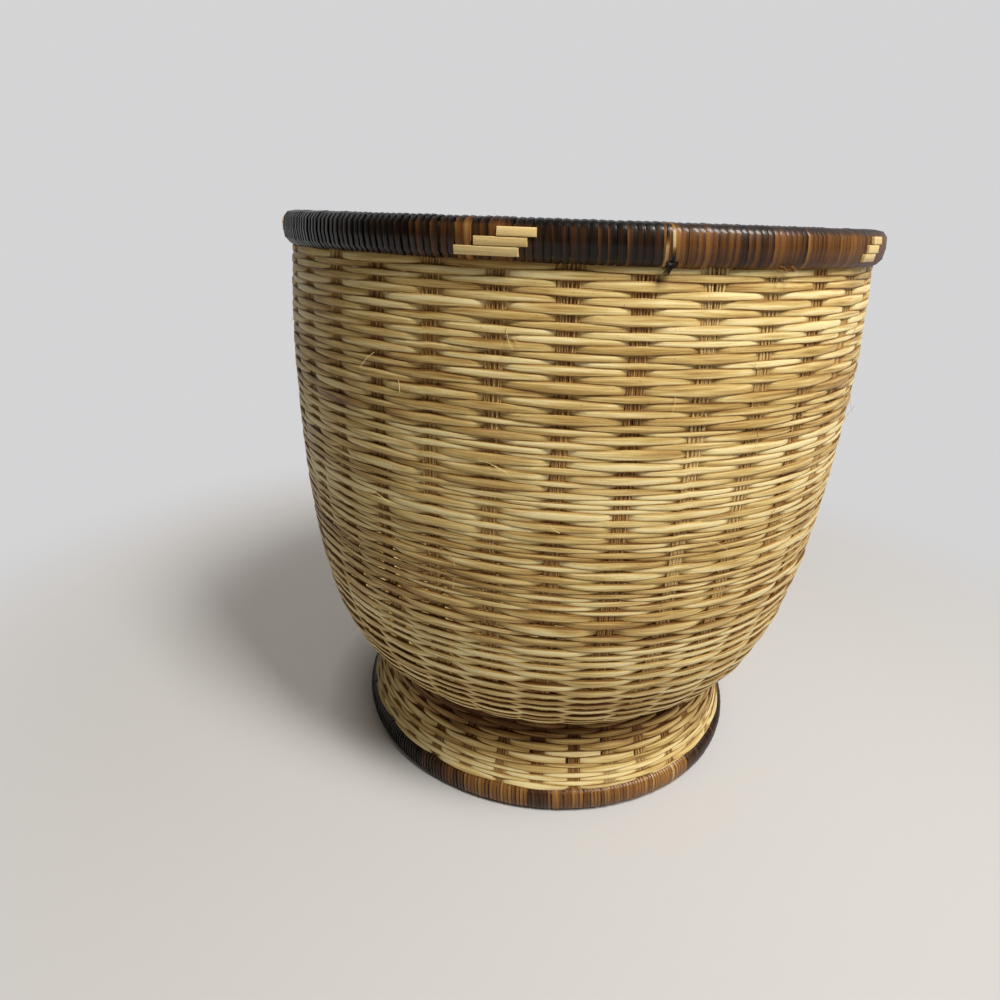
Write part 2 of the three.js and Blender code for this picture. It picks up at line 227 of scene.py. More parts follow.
def add_node(tree, kind, values=(), **settings):
    """A node in a tree, with its settings and the values of its inputs, or the sockets that feed them."""
    node = tree.nodes.new(kind)
    for name, value in settings.items():
        setattr(node, name, value)
    for socket, value in dict(values).items():
        if isinstance(value, bpy.types.NodeSocket):
            tree.links.new(value, node.inputs[socket])
        else:
            node.inputs[socket].default_value = value
    return node


# The grain of split cane: fine fibres and broader streaks along it, slow patches of colour and dark specks.
GRAINS = (  # how often each one changes per metre, along the cane and round it, and its detail
    ((55, 2300, 1), 2), ((16, 620, 1), 1), ((21, 55, 1), 2), ((900, 1900, 1), 1),
)
STREAKS_IN_SHADE, STREAKS_IN_HEIGHT = 1.3, 0.8  # weights of the streaks, where the fibres have 1
SPECK_ENDS = (-0.30, -0.18)  # of the lowest part of their noise, where a speck is full and where it ends
SPECK_SHADE = -0.30
grain = bpy.data.node_groups.new("cane_grain", "ShaderNodeTree")
for socket_name, direction, kind in (
    ("Place", "INPUT", "NodeSocketVector"), ("Tone", "INPUT", "NodeSocketFloat"),
    ("Streaks", "INPUT", "NodeSocketFloat"), ("Patches", "INPUT", "NodeSocketFloat"),
    ("Shade", "OUTPUT", "NodeSocketFloat"), ("Height", "OUTPUT", "NodeSocketFloat"),
    ("Dullness", "OUTPUT", "NodeSocketFloat"),
):
    grain.interface.new_socket(name=socket_name, in_out=direction, socket_type=kind)
given = add_node(grain, "NodeGroupInput")
made = add_node(grain, "NodeGroupOutput")
noises = []
for stretch, detail in GRAINS:
    place = add_node(grain, "ShaderNodeVectorMath", {0: given.outputs["Place"], 1: stretch},
                     operation="MULTIPLY")
    noise = add_node(grain, "ShaderNodeTexNoise", {"Vector": place.outputs[0], "Scale": 1, "Detail": detail})
    noises.append(add_node(grain, "ShaderNodeMath", {0: noise.outputs["Fac"], 1: 0.5}, operation="SUBTRACT"))
fibres, streaks, patches, specks = [noise.outputs[0] for noise in noises]
both = add_node(grain, "ShaderNodeMath", {0: streaks, 1: STREAKS_IN_SHADE, 2: fibres},
                operation="MULTIPLY_ADD")
shade = add_node(grain, "ShaderNodeMath",
                 {0: both.outputs[0], 1: given.outputs["Streaks"], 2: given.outputs["Tone"]},
                 operation="MULTIPLY_ADD")
shade = add_node(grain, "ShaderNodeMath",
                 {0: patches, 1: given.outputs["Patches"], 2: shade.outputs[0]},
                 operation="MULTIPLY_ADD")
specks = add_node(grain, "ShaderNodeMapRange",
                  {0: specks, 1: SPECK_ENDS[0], 2: SPECK_ENDS[1], 3: SPECK_SHADE, 4: 0.0})
shade = add_node(grain, "ShaderNodeMath", {0: shade.outputs[0], 1: specks.outputs[0]},
                 operation="ADD", use_clamp=True)
height = add_node(grain, "ShaderNodeMath", {0: streaks, 1: STREAKS_IN_HEIGHT, 2: fibres},
                  operation="MULTIPLY_ADD")
grain.links.new(shade.outputs[0], made.inputs["Shade"])
grain.links.new(height.outputs[0], made.inputs["Height"])
grain.links.new(patches, made.inputs["Dullness"])


def cane_material(name, colours, streaks, patches, roughness, coat=0.0, specular=0.2, ring=0.0):
    """Cane whose tone picks its colour from (tone, colour) pairs. Where a ring's radius is given, the piece
    has no tones and the grain runs round the ring."""
    material = bpy.data.materials.new(name)
    material.use_nodes = True
    tree = material.node_tree
    shader = tree.nodes["Principled BSDF"]
    if ring:
        whole = add_node(tree, "ShaderNodeTexCoord")
        parts = add_node(tree, "ShaderNodeSeparateXYZ", {0: whole.outputs["Object"]})
        turn = add_node(tree, "ShaderNodeMath", {0: parts.outputs[1], 1: parts.outputs[0]},
                        operation="ARCTAN2")
        length = add_node(tree, "ShaderNodeMath", {0: turn.outputs[0], 1: ring}, operation="MULTIPLY")
        place = add_node(tree, "ShaderNodeCombineXYZ", {0: length.outputs[0], 1: parts.outputs[2]}).outputs[0]
        tone = 0.5
    else:
        place = add_node(tree, "ShaderNodeUVMap", uv_map="cane").outputs[0]
        tone = add_node(tree, "ShaderNodeAttribute", attribute_name="tone").outputs["Fac"]
    grained = add_node(tree, "ShaderNodeGroup",
                       {"Place": place, "Tone": tone, "Streaks": streaks, "Patches": patches},
                       node_tree=grain)
    ramp = add_node(tree, "ShaderNodeValToRGB", {0: grained.outputs["Shade"]})
    while len(ramp.color_ramp.elements) < len(colours):
        ramp.color_ramp.elements.new(0.5)
    for element, (position, colour) in zip(ramp.color_ramp.elements, colours):
        element.position = position
        element.color = (*colour, 1)
    tree.links.new(ramp.outputs[0], shader.inputs["Base Color"])
    dull = add_node(tree, "ShaderNodeMath", {0: grained.outputs["Dullness"], 1: 0.5, 2: roughness},
                    operation="MULTIPLY_ADD")
    tree.links.new(dull.outputs[0], shader.inputs["Roughness"])
    bump = add_node(tree, "ShaderNodeBump",
                    {"Height": grained.outputs["Height"], "Strength": 0.5, "Distance": 0.00025})
    tree.links.new(bump.outputs[0], shader.inputs["Normal"])
    shader.inputs["Specular IOR Level"].default_value = specular
    shader.inputs["Coat Weight"].default_value = coat
    shader.inputs["Coat Roughness"].default_value = 0.22
    return material


stake_section = cane_section("stake_section", 0.70, 8, 0.55)
stake_material = cane_material("stake_cane", (
    (0.0, (0.10, 0.036, 0.010)), (0.35, (0.31, 0.150, 0.046)), (0.65, (0.53, 0.320, 0.115)),
    (1.0, (0.74, 0.57, 0.26)),
), streaks=0.35, patches=0.25, roughness=0.5)
stations = np.concatenate([
    np.linspace(0, NECK - 0.006, 8),
    np.linspace(NECK - 0.005, NECK + 0.005, 5),
    np.linspace(NECK + 0.007, TOP - FAN_HEIGHT, 26),
    np.linspace(TOP - FAN_HEIGHT + 0.004, wall_length[-1], 9),
])
chance = np.random.default_rng(11)
for number in range(STAKES):
    from_front = (number + STAKES // 2) % STAKES - STAKES // 2
    turn = 2 * math.pi * from_front / STAKES
    base_tone = FRONT_TONES.get(from_front, chance.uniform(0.35, 0.85))
    fan = FRONT_FANS.get(from_front, FAN_WIDTH * chance.uniform(0.85, 1.12))
    spread = np.clip((stations - (TOP - FAN_HEIGHT)) / FAN_HEIGHT, 0, 1) ** 1.7
    width = BUNDLE_WIDTH + (fan - BUNDLE_WIDTH) * spread
    width = width * (1 + 0.07 * drift(stations, 100 + number, 0.11, 0.19))
    lines = []
    for cane in range(CANES_IN_STAKE):
        place = cane / (CANES_IN_STAKE - 1) - 0.5
        cane_width = BUNDLE_WIDTH / CANES_IN_STAKE * chance.uniform(1.14, 1.32)
        aside = place * (width - cane_width) + STAKE_WANDER * drift(stations, 7 * number + cane, 0.05, 0.083)
        radius = np.interp(stations, wall_length, middle[:, 0])
        out = STAKE_OUT + STAKE_STAGGER * (-1) ** cane
        points, slope = wall_point(stations, turn + aside / radius, out)
        tone = base_tone + chance.uniform(-0.16, 0.16)
        tone = tone + 0.10 * drift(stations, 55 * number + cane, 0.07, 0.13)
        # Painted shadow of the bowl's overhang near the neck.
        tone += np.interp(stations - NECK, *zip(*NECK_PAINTED_SHADOW))
        lines.append((points, cane_width, slope, tone))
    stake = sweep(f"stake_{number + 1:02d}_canes", stake_section, lines)
    stake.data.materials.append(stake_material)
    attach(stake, "root")
    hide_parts(f"stake_{number + 1:02d}")


# Bowl weave. One long oval weaver after another goes in front of one stake and behind the next, in a spiral
# from the rim down to the neck, and is pushed close until the rows touch. No two canes are equally thick.
WEAVER_WIDTH = 0.0035
WEAVER_DEPTH = 0.34  # as a share of the width
WEAVER_SHAPE = (  # how wide a weaver is on its way from behind a stake, 0, to the front of the next one, 1
    (0, 1), (0.12, 0.92), (0.25, 0.76), (0.5, 0.80), (0.8, 0.97), (1, 1),
)
STEPS = 8  # from one stake to the next
CANE_REACH = (95, 150)  # stakes that one cane passes
LAST_REACH = 40  # the fewest stakes that are left for the last one
SHORTEST = 10 * STEPS  # of the canes beside a cut or at the end
CUT_GAP = 3  # steps from a cut to the next cane
CUT_LIFT = 6  # steps before a cut in which a cane stays in front of the wall
BOWL_ROWS = 109
HIDDEN_HEIGHT = 0.0098  # of the rows inside the rim's binding
NECK_GAP = 0.0012  # between the neck and the lowest row
ROW_CLOSENESS = 0.79
ROW_WIDTHS = (  # how wide the rows are, so far below the rim
    (0.000, 1.03), (0.055, 1.03), (0.062, 0.94), (0.108, 0.94), (0.112, 0.88), (0.134, 0.88),
    (0.138, 1.12), (0.160, 1.12), (0.163, 0.94), (0.174, 0.94), (0.177, 1.15), (0.192, 1.15), (0.196, 1.01),
)
NECK_CREASE = (  # how far the rows stand out of the wall, so far above the neck
    (-0.012, 0.0), (-0.004, -0.0008), (-0.001, -0.0010), (0.001, 0.0004), (0.003, 0.0014), (0.009, 0.0010),
    (0.022, 0.0),
)
DIVES = (  # how wide a dive behind a stake is, as a share of the way between two, so far above the neck
    (-0.030, 0.20), (-0.002, 0.24), (0.002, 0.42), (0.045, 0.42), (0.095, 0.32), (0.145, 0.20),
)
# Painted shade in the seams between rows: the long edges of each weaver are darkened in their colour.
SEAM_PAINTED_SHADE = 0.58  # how much darker the edges of a weaver are
RIM_GAP = 0.0012  # how much higher the rows inside the rim's binding lie than close rows would
GAP_SPAN = (0.0004, 0.0020)  # lengths above the underside of the rim between which the gap opens

weaver_section = cane_section("weaver_section", WEAVER_DEPTH, 8, 0.54)
straw_material = cane_material("weaver_straw", (
    (0.0, (0.13, 0.052, 0.012)), (0.25, (0.32, 0.180, 0.050)), (0.50, (0.51, 0.335, 0.112)),
    (0.75, (0.69, 0.510, 0.200)), (1.0, (0.86, 0.72, 0.38)),
), streaks=1.15, patches=0.42, roughness=0.46)


def spiral(rows, start, seed):
    """Places along a weaver that winds down the wall: stakes passed, length up the wall, width, and the
    places where its canes begin, each one behind a stake."""
    chance = np.random.default_rng(seed)
    lap = STAKES * STEPS
    count = np.arange(-lap, rows * lap + 1) / STEPS - STAKES / 2
    width = WEAVER_WIDTH * (1 + 0.24 * drift(count, seed, 9.3, 13.7, 22.7, 31.9))
    begins = [0]
    while True:
        behind = 2 * round((count[begins[-1]] + chance.uniform(*CANE_REACH)) / 2)
        place = int((behind - count[0]) * STEPS)
        if place > len(count) - LAST_REACH * STEPS:
            break
        begins.append(place)
    for first, last in zip(begins, [*begins[1:], len(count)]):
        width[first:last] *= chance.uniform(0.88, 1.12)
    length = np.empty_like(count)
    width[:lap] *= ROW_WIDTHS[0][1]
    length[:lap] = start - ROW_CLOSENESS * (width[0] + width[lap]) / 2 * np.arange(lap) / lap
    for first in range(lap, len(count), lap):
        here = slice(first, min(first + lap, len(count)))
        above = slice(first - lap, here.stop - lap)
        width[here] *= np.interp(TOP - length[above], *zip(*ROW_WIDTHS))
        length[here] = length[above] - ROW_CLOSENESS * (width[above] + width[here]) / 2
    return count, length, width, begins


def weavers(count, length, width, begins, seed, cuts=()):
    """A line for each cane of a weaver. One that stops at a cut ends in front of the wall, and the next one
    begins a few steps on."""
    chance = np.random.default_rng(seed)
    lines = []
    places = sorted({*begins, *cuts, len(count) - 1})
    for first, last in zip(places[:-1], places[1:]):
        if first in cuts:
            first += CUT_GAP
        part = slice(first, last + 1)
        from_behind = np.abs((count[part] + 1) % 2 - 1)
        dive = np.interp(length[part] - NECK, *zip(*DIVES))
        wave = 1 - 2 * np.exp(-(from_behind / dive) ** 2)
        if last in cuts:
            wave[-CUT_LIFT:] = np.maximum(wave[-CUT_LIFT:], np.linspace(0.95, 0.8, CUT_LIFT))
        out = wave * (STAKE_DEPTH + WEAVER_DEPTH * width[part]) / 2
        out += np.interp(length[part] - NECK, *zip(*NECK_CREASE))
        high = length[part] + np.interp(length[part] - TOP, GAP_SPAN, (0, RIM_GAP))
        points, slope = wall_point(high, 2 * math.pi * count[part] / STAKES, out)
        size = width[part] * np.interp(from_behind, *zip(*WEAVER_SHAPE))
        tone = chance.uniform(0.56, 0.87) + 0.12 * drift(count[part], seed + first, 17.3, 29.7, 41.9)
        # The wave term is painted shade and light: a weaver is darker where it dives behind a stake and
        # lighter in front.
        tone += 0.06 * drift(count[part], seed + first + 1, 3.1, 5.3) + 0.05 * wave
        # Painted shadow of the bowl's overhang near the neck.
        tone += np.interp(length[part] - NECK, *zip(*NECK_PAINTED_SHADOW))
        lines.append((points, size, slope, tone))
    return lines


count, length, width, begins = spiral(BOWL_ROWS, TOP + HIDDEN_HEIGHT, 1447)
kept = int(np.argmax(length < NECK + NECK_GAP))
kept -= kept % (STAKES * STEPS)
begins = [place for place in begins if place < kept - SHORTEST]
lines = weavers(count[:kept], length[:kept], width[:kept], begins, 31)
shares = np.linspace(0, len(lines), 4).astype(int)
for number in range(3):
    share = lines[shares[number]:shares[number + 1]]
    weave = sweep(f"bowl_weave_{number + 1}", weaver_section, share, seam_shade=SEAM_PAINTED_SHADE)
    weave.data.materials.append(straw_material)
    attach(weave, "root")
    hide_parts("bowl_weave")


# Foot weave. The same weaver, carried on from the neck down to the foot's binding. At the front the canes are
# short, and each one is cut square in front of the wall, beside the stake that the next one starts behind.
FOOT_ROWS = 20
FOOT_START = 0.0028  # below the neck
FOOT_END = 0.0010  # inside the foot's binding
FOOT_CUTS = (  # the stake beside a cut, counted to the right from the front, and the cut's height
    (0, 0.0367), (0, 0.0325), (1, 0.0294), (2, 0.0360), (2, 0.0317), (3, 0.0267), (4, 0.0297),
)
CUT_PLACE = 0.25  # how far a cut is on the left of its stake, as a share of the way between two

count, length, width, begins = spiral(FOOT_ROWS, NECK - FOOT_START, 9)
kept = int(np.argmax(length < wall_length[1] - FOOT_END))
kept += -kept % (STAKES * STEPS)
height = np.interp(length, wall_length, middle[:, 1])
cuts = []
for stake_number, cut_height in FOOT_CUTS:
    turns = (count - (stake_number - CUT_PLACE)) / STAKES
    after_front = (np.abs(turns - np.round(turns)) < 1e-6) & (np.round(count + CUT_PLACE - 1) % 2 == 1)
    cuts.append(int(np.argmin(np.where(after_front, np.abs(height - cut_height), 9))))
begins = [place for place in begins
          if place < kept - SHORTEST and min(abs(place - cut) for cut in cuts) > SHORTEST]
lines = weavers(count[:kept], length[:kept], width[:kept], begins, 41, set(cuts))
weave = sweep("foot_weave_canes", weaver_section, lines, seam_shade=SEAM_PAINTED_SHADE)
weave.data.materials.append(straw_material)
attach(weave, "root")
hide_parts("foot_weave")


# Rim binding. A flat cane is wound tightly round both rim hoops, about three hundred turns, each with a domed
# face. It was scorched before it was wound, so that its colour goes from near black to golden brown.
RIM_RADIUS = 0.1438
RIM_HEIGHT = 0.2900
RIM_TURNS = 304
RIM_DARK_TOP = 0.38  # how much darker the turns are on top
RIM_TONES = (  # turn from the front in degrees where a shade of the cane begins, and the shade
    (-180, 0.30), (-163, 0.62), (-148, 0.12), (-118, 0.50), (-104, 0.06), (-24, 0.36), (-17.5, 0.36),
    (-15.6, 0.68), (-14.2, 0.36), (-12.8, 0.38), (-11, 0.54), (-9.4, 0.42), (-6.8, 0.33), (-4.4, 0.22),
    (2.5, 0.17), (8.5, 0.24), (12.2, 0.66), (13.6, 0.50), (22.9, 0.36), (27.2, 0.32), (28.5, 0.62),
    (30.5, 0.46), (34.5, 0.54), (46, 0.48), (62, 0.36), (75, 0.55), (100, 0.12), (125, 0.45), (140, 0.68),
    (155, 0.20), (170, 0.40),
)
PITCHES = (  # how widely the turns are spaced, so many degrees from the front
    (-180, 1.02), (-60, 1.02), (5, 1.03), (15, 0.91), (55, 0.86), (75, 1.02), (180, 1.02),
)
BARE_HALVES = (  # two narrow turns with a bare half: place in degrees, share of a full width, shade and half
    (12.25, 0.36, 0.95, -1), (13.2, 0.44, 0.95, 1),
)
TURN_CORNERS = 12
TURN_SQUARENESS = 2 / 3  # 1 would make a turn oval
TURN_LEAN = -3.6  # degrees, with the top to the left
TURN_SLANT = -0.2  # slope of a turn, which stands out further at its right edge
TURN_GRAIN = 0.061  # how much further along the grain each turn starts
DARK_TOP_FROM = 0.0050  # height in a turn where the darkening begins
DARK_TOP_FADE = 0.0018  # and the height in which it gets full

turn_section = cane_section("turn_section", 0.50, 6, 0.62)
binding_material = cane_material("binding_cane", (
    (0.0, (0.003, 0.002, 0.0015)), (0.20, (0.016, 0.0085, 0.0045)), (0.40, (0.065, 0.027, 0.0105)),
    (0.60, (0.17, 0.070, 0.019)), (0.78, (0.32, 0.155, 0.042)), (0.90, (0.46, 0.27, 0.090)),
    (1.0, (0.68, 0.55, 0.30)),
), streaks=0.24, patches=0.30, roughness=0.42, coat=0.25, specular=0.13)


def cane_turn(name, half_depth, half_height, cane_width):
    """One closed turn of binding cane, standing across the middle of a pair of hoops."""
    around = np.linspace(0, 2 * math.pi, TURN_CORNERS + 1)[:-1]
    across = half_depth * np.sign(np.cos(around)) * np.abs(np.cos(around)) ** TURN_SQUARENESS
    upward = half_height * np.sign(np.sin(around)) * np.abs(np.sin(around)) ** TURN_SQUARENESS
    line = (np.c_[across, upward, 0 * around], cane_width, 0.0, 0.5)
    turn = sweep(name, turn_section, [line], closed=True)
    turn.data.transform(Matrix(((0, 0, 1, 0), (1, 0, 0, 0), (0, 1, 0, 0), (0, 0, 0, 1))))
    return turn


def wind(name, turn, turns, radius, height, tones, seed, extra=(), darker_top=0.0):
    """The turn copied all the way round a hoop, each copy a little different, and joined into one piece. The
    last argument darkens the top of every turn. An extra turn is given by its place in degrees, its share of
    a full width, its tone, and 1 or -1 for a bare upper or lower half."""
    chance = np.random.default_rng(seed)
    starts = np.array([start for start, tone in tones])
    pitches = np.interp(np.linspace(-180, 180, turns), *zip(*PITCHES))
    pitches *= 360 / pitches.sum()
    places = np.cumsum(pitches) - 180 + pitches * chance.uniform(-0.09, 0.09, turns)
    places = [(place, pitch * turns / 360, 0, 0) for place, pitch in zip(places, pitches)]
    corners = np.empty(len(turn.data.vertices) * 3)
    turn.data.vertices.foreach_get("co", corners)
    side = corners[::3] / np.abs(corners[::3]).max()
    side = np.where(np.abs(side) > 0.9, side, 0)
    top = np.clip((corners[2::3] - DARK_TOP_FROM) / DARK_TOP_FADE, 0, 1)
    slant = Matrix(((1, 0, 0, 0), (TURN_SLANT, 1, 0, 0), (0, 0, 1, 0), (0, 0, 0, 1)))
    copies = []
    for degrees, share, tone, half in (*places, *extra):
        if not half:
            tone = tones[int(np.searchsorted(starts, degrees, side="right")) - 1][1]
            change = chance.uniform(-0.03, 0.11)
            if chance.random() < 0.2:
                change += chance.uniform(-0.10, 0.12)
            tone += change
        copy = turn.copy()
        copy.data = turn.data.copy()
        bpy.context.collection.objects.link(copy)
        wide = share * chance.uniform(0.94, 1.07)
        deep = chance.uniform(0.98, 1.02) + abs(half) * 0.05
        stretch = Matrix.Diagonal((wide, deep, chance.uniform(0.985, 1.015), 1))
        tilt = Matrix.Rotation(math.radians(TURN_LEAN + chance.uniform(-1.2, 1.2)), 4, "Y")
        there = Matrix.Translation((0, -radius, height))
        copy.data.transform(Matrix.Rotation(math.radians(degrees), 4, "Z") @ there @ tilt @ slant @ stretch)

        # Painted light on each turn: a painted reflection lightens its left edge, most of all on black cane,
        # and a painted shade darkens its right edge, between the turns.
        edge_reflection = chance.uniform(0, 0.22) + (0.32 if tone < 0.2 else 0)
        edges = np.clip(side, 0, 1) * chance.uniform(-0.38, -0.03) + np.clip(-side, 0, 1) * (edge_reflection - 0.06)
        scorched = np.where(corners[2::3] * half < -0.0005, -0.9, 0)
        layer = copy.data.attributes["tone"]
        layer.data.foreach_set("value", (tone + edges + (scorched - darker_top * top)).astype(np.float32))
        grain_places = copy.data.uv_layers["cane"].data
        place = np.empty(len(grain_places) * 2, np.float32)
        grain_places.foreach_get("uv", place)
        place[::2] += TURN_GRAIN * len(copies)
        grain_places.foreach_set("uv", place)
        copies.append(copy)
    bpy.data.objects.remove(turn)
    bpy.ops.object.select_all(action="DESELECT")
    for copy in copies:
        copy.select_set(True)
    bpy.context.view_layer.objects.active = copies[0]
    bpy.ops.object.join()
    copies[0].name = name
    return copies[0]


turn = cane_turn("rim_turn", half_depth=0.00560, half_height=0.0068, cane_width=0.0033)
rim_canes = wind("rim_binding_canes", turn, RIM_TURNS, RIM_RADIUS, RIM_HEIGHT, RIM_TONES, 17,
                 extra=BARE_HALVES, darker_top=RIM_DARK_TOP)
rim_canes.data.materials.append(binding_material)
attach(rim_canes, "root")
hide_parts("rim_binding")


# Rim inlays. Three pale strips, one above the other in steps, lie on the binding at six places round the rim.
# Their ends are tucked under the turns beside them.
INLAYS = 6
FIRST_INLAY = -10.5  # turn from the front in degrees
INLAY_SHIFTS = {1: 2, 5: -6}  # how many degrees two of the six are off their place
INLAY_RADIUS = 0.1504
INLAY_SUNK = 0.00005  # how far the strips lie in from that radius
LEANING_SUNK = 0.00015  # and how much further the two that lean do
INLAY_DROP = 0.0005  # how far the middle strip lies below the middle of the rim
INLAY_LIFTS = {1: 0.0006}  # how much higher one of the six lies
INLAY_PITCH = 0.0033  # from one strip down to the next
INLAY_STEP = 0.003  # how much sooner the next one ends on the right
INLAY_LEAN = 9  # degrees that the upper strip leans in at its top and the lower one at its bottom
INLAY_LENGTHS = (0.0137, 0.0190, 0.0235)  # from the upper strip to the lower one
SHORT_LENGTHS = {1: (0.0115, 0.0130, 0.0130)}  # the same for the one of the six that is shorter
INLAY_HIGH = 0.0032
INLAY_THICK = 0.0011
INLAY_EDGE = 0.0003  # how far the edges are rounded off
INLAY_TUCK = 0.0007  # length of each end that goes in under the turns
TUCK_BEND = 0.0003  # length in which it dips
TUCK_DEPTH = 0.0017

inlay_material = cane_material("inlay_cane", (
    (0.0, (0.35, 0.19, 0.06)), (0.35, (0.60, 0.41, 0.15)), (0.7, (0.77, 0.58, 0.26)),
    (1.0, (0.86, 0.72, 0.40)),
), streaks=0.4, patches=0.3, roughness=0.42, coat=0.1)
chance = np.random.default_rng(23)
for number in range(INLAYS):
    middle_turn = math.radians(FIRST_INLAY + 360 / INLAYS * number + INLAY_SHIFTS.get(number, 0))
    strips = []
    for row, inlay_length in enumerate(SHORT_LENGTHS.get(number, INLAY_LENGTHS)):
        tilt = INLAY_LEAN * (row - 1)
        rise_from_middle = (1 - row) * INLAY_PITCH - INLAY_DROP + INLAY_LIFTS.get(number, 0)
        right = middle_turn + (INLAY_LENGTHS[2] / 2 - row * INLAY_STEP + INLAY_STEP) / INLAY_RADIUS
        strip_middle = right - inlay_length / 2 / INLAY_RADIUS
        bpy.ops.object.select_all(action="DESELECT")
        bpy.ops.mesh.primitive_cube_add(size=1)
        strip = bpy.context.object
        strip.scale = (inlay_length + 2 * INLAY_TUCK, INLAY_THICK, INLAY_HIGH * chance.uniform(0.93, 0.99))
        bpy.ops.object.transform_apply(location=False, rotation=False, scale=True)
        bpy.ops.object.mode_set(mode="EDIT")
        bpy.ops.mesh.select_mode(type="EDGE")
        bpy.ops.mesh.select_all(action="SELECT")
        bpy.ops.mesh.bevel(offset=INLAY_EDGE, segments=2)
        ends = inlay_length / 2 + np.array([0.0, TUCK_BEND])
        for cut in (*-ends[::-1], *np.linspace(-0.45, 0.45, 9) * inlay_length, *ends):
            bpy.ops.mesh.select_all(action="SELECT")
            bpy.ops.mesh.bisect(plane_co=(cut, 0, 0), plane_no=(1, 0, 0))
        bpy.ops.object.mode_set(mode="OBJECT")
        mesh = strip.data
        flat = np.empty(len(mesh.vertices) * 3)
        mesh.vertices.foreach_get("co", flat)
        flat = flat.reshape(-1, 3)
        vertex = np.empty(len(mesh.loops), np.int32)
        mesh.loops.foreach_get("vertex_index", vertex)
        layer = mesh.uv_layers[0]
        layer.name = "cane"
        place = flat[vertex][:, [0, 2]] + (0.1 * (3 * number + row), 0.005)
        layer.data.foreach_set("uv", place.astype(np.float32).ravel())
        layer = mesh.attributes.new("tone", "FLOAT", "POINT")
        layer.data.foreach_set("value", np.full(len(flat), chance.uniform(0.5, 0.75), np.float32))

        # Curled round the rim, leaning with its face, and with both ends pushed in under the binding.
        hidden = np.clip((np.abs(flat[:, 0]) - inlay_length / 2) / TUCK_BEND, 0, 1)
        lean_in = math.radians(tilt)
        face = INLAY_RADIUS - INLAY_SUNK - (abs(tilt) > 0) * LEANING_SUNK + flat[:, 1] - TUCK_DEPTH * hidden
        face = face + flat[:, 2] * math.sin(lean_in)
        turn_at = strip_middle + flat[:, 0] / INLAY_RADIUS
        curled = np.stack([face * np.sin(turn_at), -face * np.cos(turn_at),
                           RIM_HEIGHT + rise_from_middle + flat[:, 2] * math.cos(lean_in)], axis=1)
        mesh.vertices.foreach_set("co", curled.ravel())
        mesh.update()
        strips.append(strip)
    bpy.ops.object.select_all(action="DESELECT")
    for strip in strips:
        strip.select_set(True)
    bpy.context.view_layer.objects.active = strips[0]
    bpy.ops.object.join()
    inlay = strips[0]
    inlay.name = f"rim_inlay_{number + 1}_strips"
    bpy.ops.object.mode_set(mode="EDIT")
    bpy.ops.mesh.select_all(action="SELECT")
    bpy.ops.mesh.normals_make_consistent(inside=False)
    bpy.ops.object.mode_set(mode="OBJECT")
    bpy.ops.object.shade_smooth_by_angle(angle=math.radians(40))
    inlay.data.materials.append(inlay_material)
    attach(inlay, "root")
    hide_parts(f"rim_inlay_{number + 1}")


# Foot binding. The same winding round the two foot hoops, with narrower turns. It is orange brown at the
# front and near black at the sides.
FOOT_RADIUS = 0.1127
FOOT_HEIGHT = 0.0070
FOOT_TURNS = 352
FOOT_TONES = (  # turn from the front in degrees where a shade of the cane begins, and the shade
    (-180, 0.45), (-150, 0.30), (-120, 0.55), (-95, 0.10), (-34, 0.30), (-27, 0.52), (-20, 0.66),
    (-1.7, 0.34), (3.6, 0.66), (6, 0.62), (20, 0.66), (34, 0.70), (41, 0.60), (46.6, 0.34), (52, 0.14),
    (95, 0.40), (130, 0.62), (160, 0.52),
)

turn = cane_turn("foot_turn", half_depth=0.0052, half_height=0.0063, cane_width=0.0020)
foot_canes = wind("foot_binding_canes", turn, FOOT_TURNS, FOOT_RADIUS, FOOT_HEIGHT, FOOT_TONES, 29)
foot_canes.data.materials.append(binding_material)
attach(foot_canes, "root")
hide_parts("foot_binding")


# Hoops. Four flat hoops of split wood, two at the rim and two at the foot, one on each side of the stakes.
# The turns of the binding hold them.
HOOP_GRAIN_RADIUS = 0.14

hoop_material = cane_material("hoop_wood", (
    (0.0, (0.20, 0.11, 0.05)), (0.5, (0.38, 0.24, 0.11)), (1.0, (0.55, 0.38, 0.19)),
), streaks=0.5, patches=0.4, roughness=0.6, ring=HOOP_GRAIN_RADIUS)
for name in ("rim_inner_hoop", "rim_outer_hoop", "foot_inner_hoop", "foot_outer_hoop"):
    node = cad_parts[name]
    node.data.materials.clear()
    node.data.materials.append(hoop_material)


# Base. Eight flat spokes of three canes each, four laid square across four, spread out like a wheel. Rings of
# weaver go over one and under the next out to the wall, where the neck wedges them.
BASE_HEIGHT = 0.0612
BASE_HEART = 0.014  # how far from the middle the spokes run straight
BASE_REACH = 0.1085
SPOKES_IN_LAYER = 4
SPOKE_PITCH = 0.0064  # from one spoke to the next in the heart
SPOKE_THICK = 0.0019
SPOKE_CANE = 0.0018  # width of each cane in a spoke
SPOKE_CANE_PITCH = 0.0017
CROSSING = 0.00115  # how far one layer lies below the middle of the base, and the other above it
CROSSING_END = 0.036  # distance from the middle where both layers have come together
CROSSING_WAY = 0.018  # and the way in which they do
FIRST_RING, LAST_RING = 0.0165, 0.1100
RING_PITCH = 0.0026
RING_CANE = 0.0029
RING_POINTS = 128

spoke_section = cane_section("spoke_section", 1.1, 8)
spoke_material = cane_material("spoke_cane", (
    (0.0, (0.16, 0.08, 0.03)), (0.5, (0.42, 0.27, 0.115)), (1.0, (0.62, 0.46, 0.22)),
), streaks=0.45, patches=0.3, roughness=0.55)
chance = np.random.default_rng(37)


